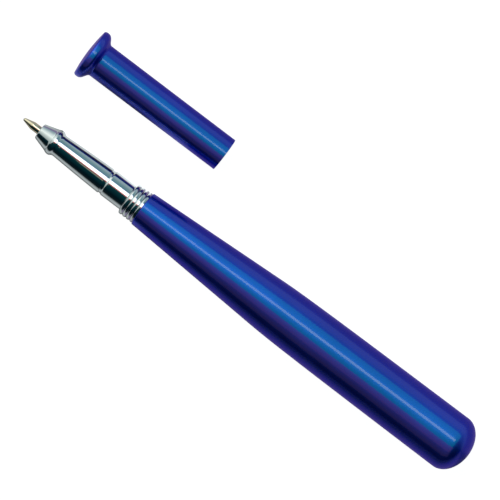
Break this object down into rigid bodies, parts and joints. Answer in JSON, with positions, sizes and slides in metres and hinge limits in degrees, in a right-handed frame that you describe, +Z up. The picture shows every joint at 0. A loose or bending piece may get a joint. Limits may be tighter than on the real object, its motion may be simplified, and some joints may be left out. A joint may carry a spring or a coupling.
{
  "type": "baseball bat pen",
  "caption": "Ballpoint pen shaped as a baseball bat, with a knobbed cap taken off and lying beside it, a chromed section and a blue metal barrel.",
  "frame": {"origin": "on the surface the pen and its cap lie on, under the middle of the box round them both", "axes": "+X runs from the writing tip towards the domed end of the barrel, +Z up; the cap lies on the +Y side with its knob pointing the way the tip does"},
  "size_m": [0.1536, 0.041, 0.0188],
  "materials": {
    "blue_anodised": "satin",
    "mirror_chrome": "polished",
    "nickel_silver": "polished",
    "hard_steel": "polished",
    "spring_steel": "satin",
    "clear_plastic": "satin",
    "ink": "gloss",
    "black_plastic": "matte",
    "white_plastic": "satin"
  },
  "bodies": {
    "barrel": {"barrel_shell": "blue_anodised", "barrel_insert": "black_plastic", "refill_spring": "spring_steel"},
    "refill": {"refill_tube": "clear_plastic", "ink_column": "ink", "refill_point": "nickel_silver"},
    "ball": {"point_ball": "hard_steel"},
    "section": {"nose_cone": "mirror_chrome", "grip": "mirror_chrome", "section_sleeve": "mirror_chrome", "ribbed_collar": "mirror_chrome"},
    "cap": {"cap_shell": "blue_anodised", "cap_liner": "white_plastic"}
  },
  "joints": [
    {"name": "refill_advance", "type": "slide", "parent": "barrel", "child": "refill", "axis": [-0.9988, 0, -0.0491], "range_m": [0, 0.006], "deforming": ["refill_spring"]},
    {"name": "section_turn", "type": "hinge", "parent": "refill", "child": "section", "pos_m": [-0.0407, -0.01234, 0.00515], "axis": [-0.9988, 0, -0.0491], "range_deg": [0, 2880]},
    {"name": "ball_roll", "type": "hinge", "parent": "refill", "child": "ball", "pos_m": [-0.07641, -0.01234, 0.00339], "axis": [0, 1, 0], "continuous": true},
    {"name": "cap_slide", "type": "slide", "parent": "barrel", "child": "cap", "axis": [-1, 0, 0], "range_m": [0, 0.0362]}
  ],
  "couplings": [
    {"joint": "section_turn", "follows": "refill_advance", "rad_per_m": 8377.6}
  ]
}
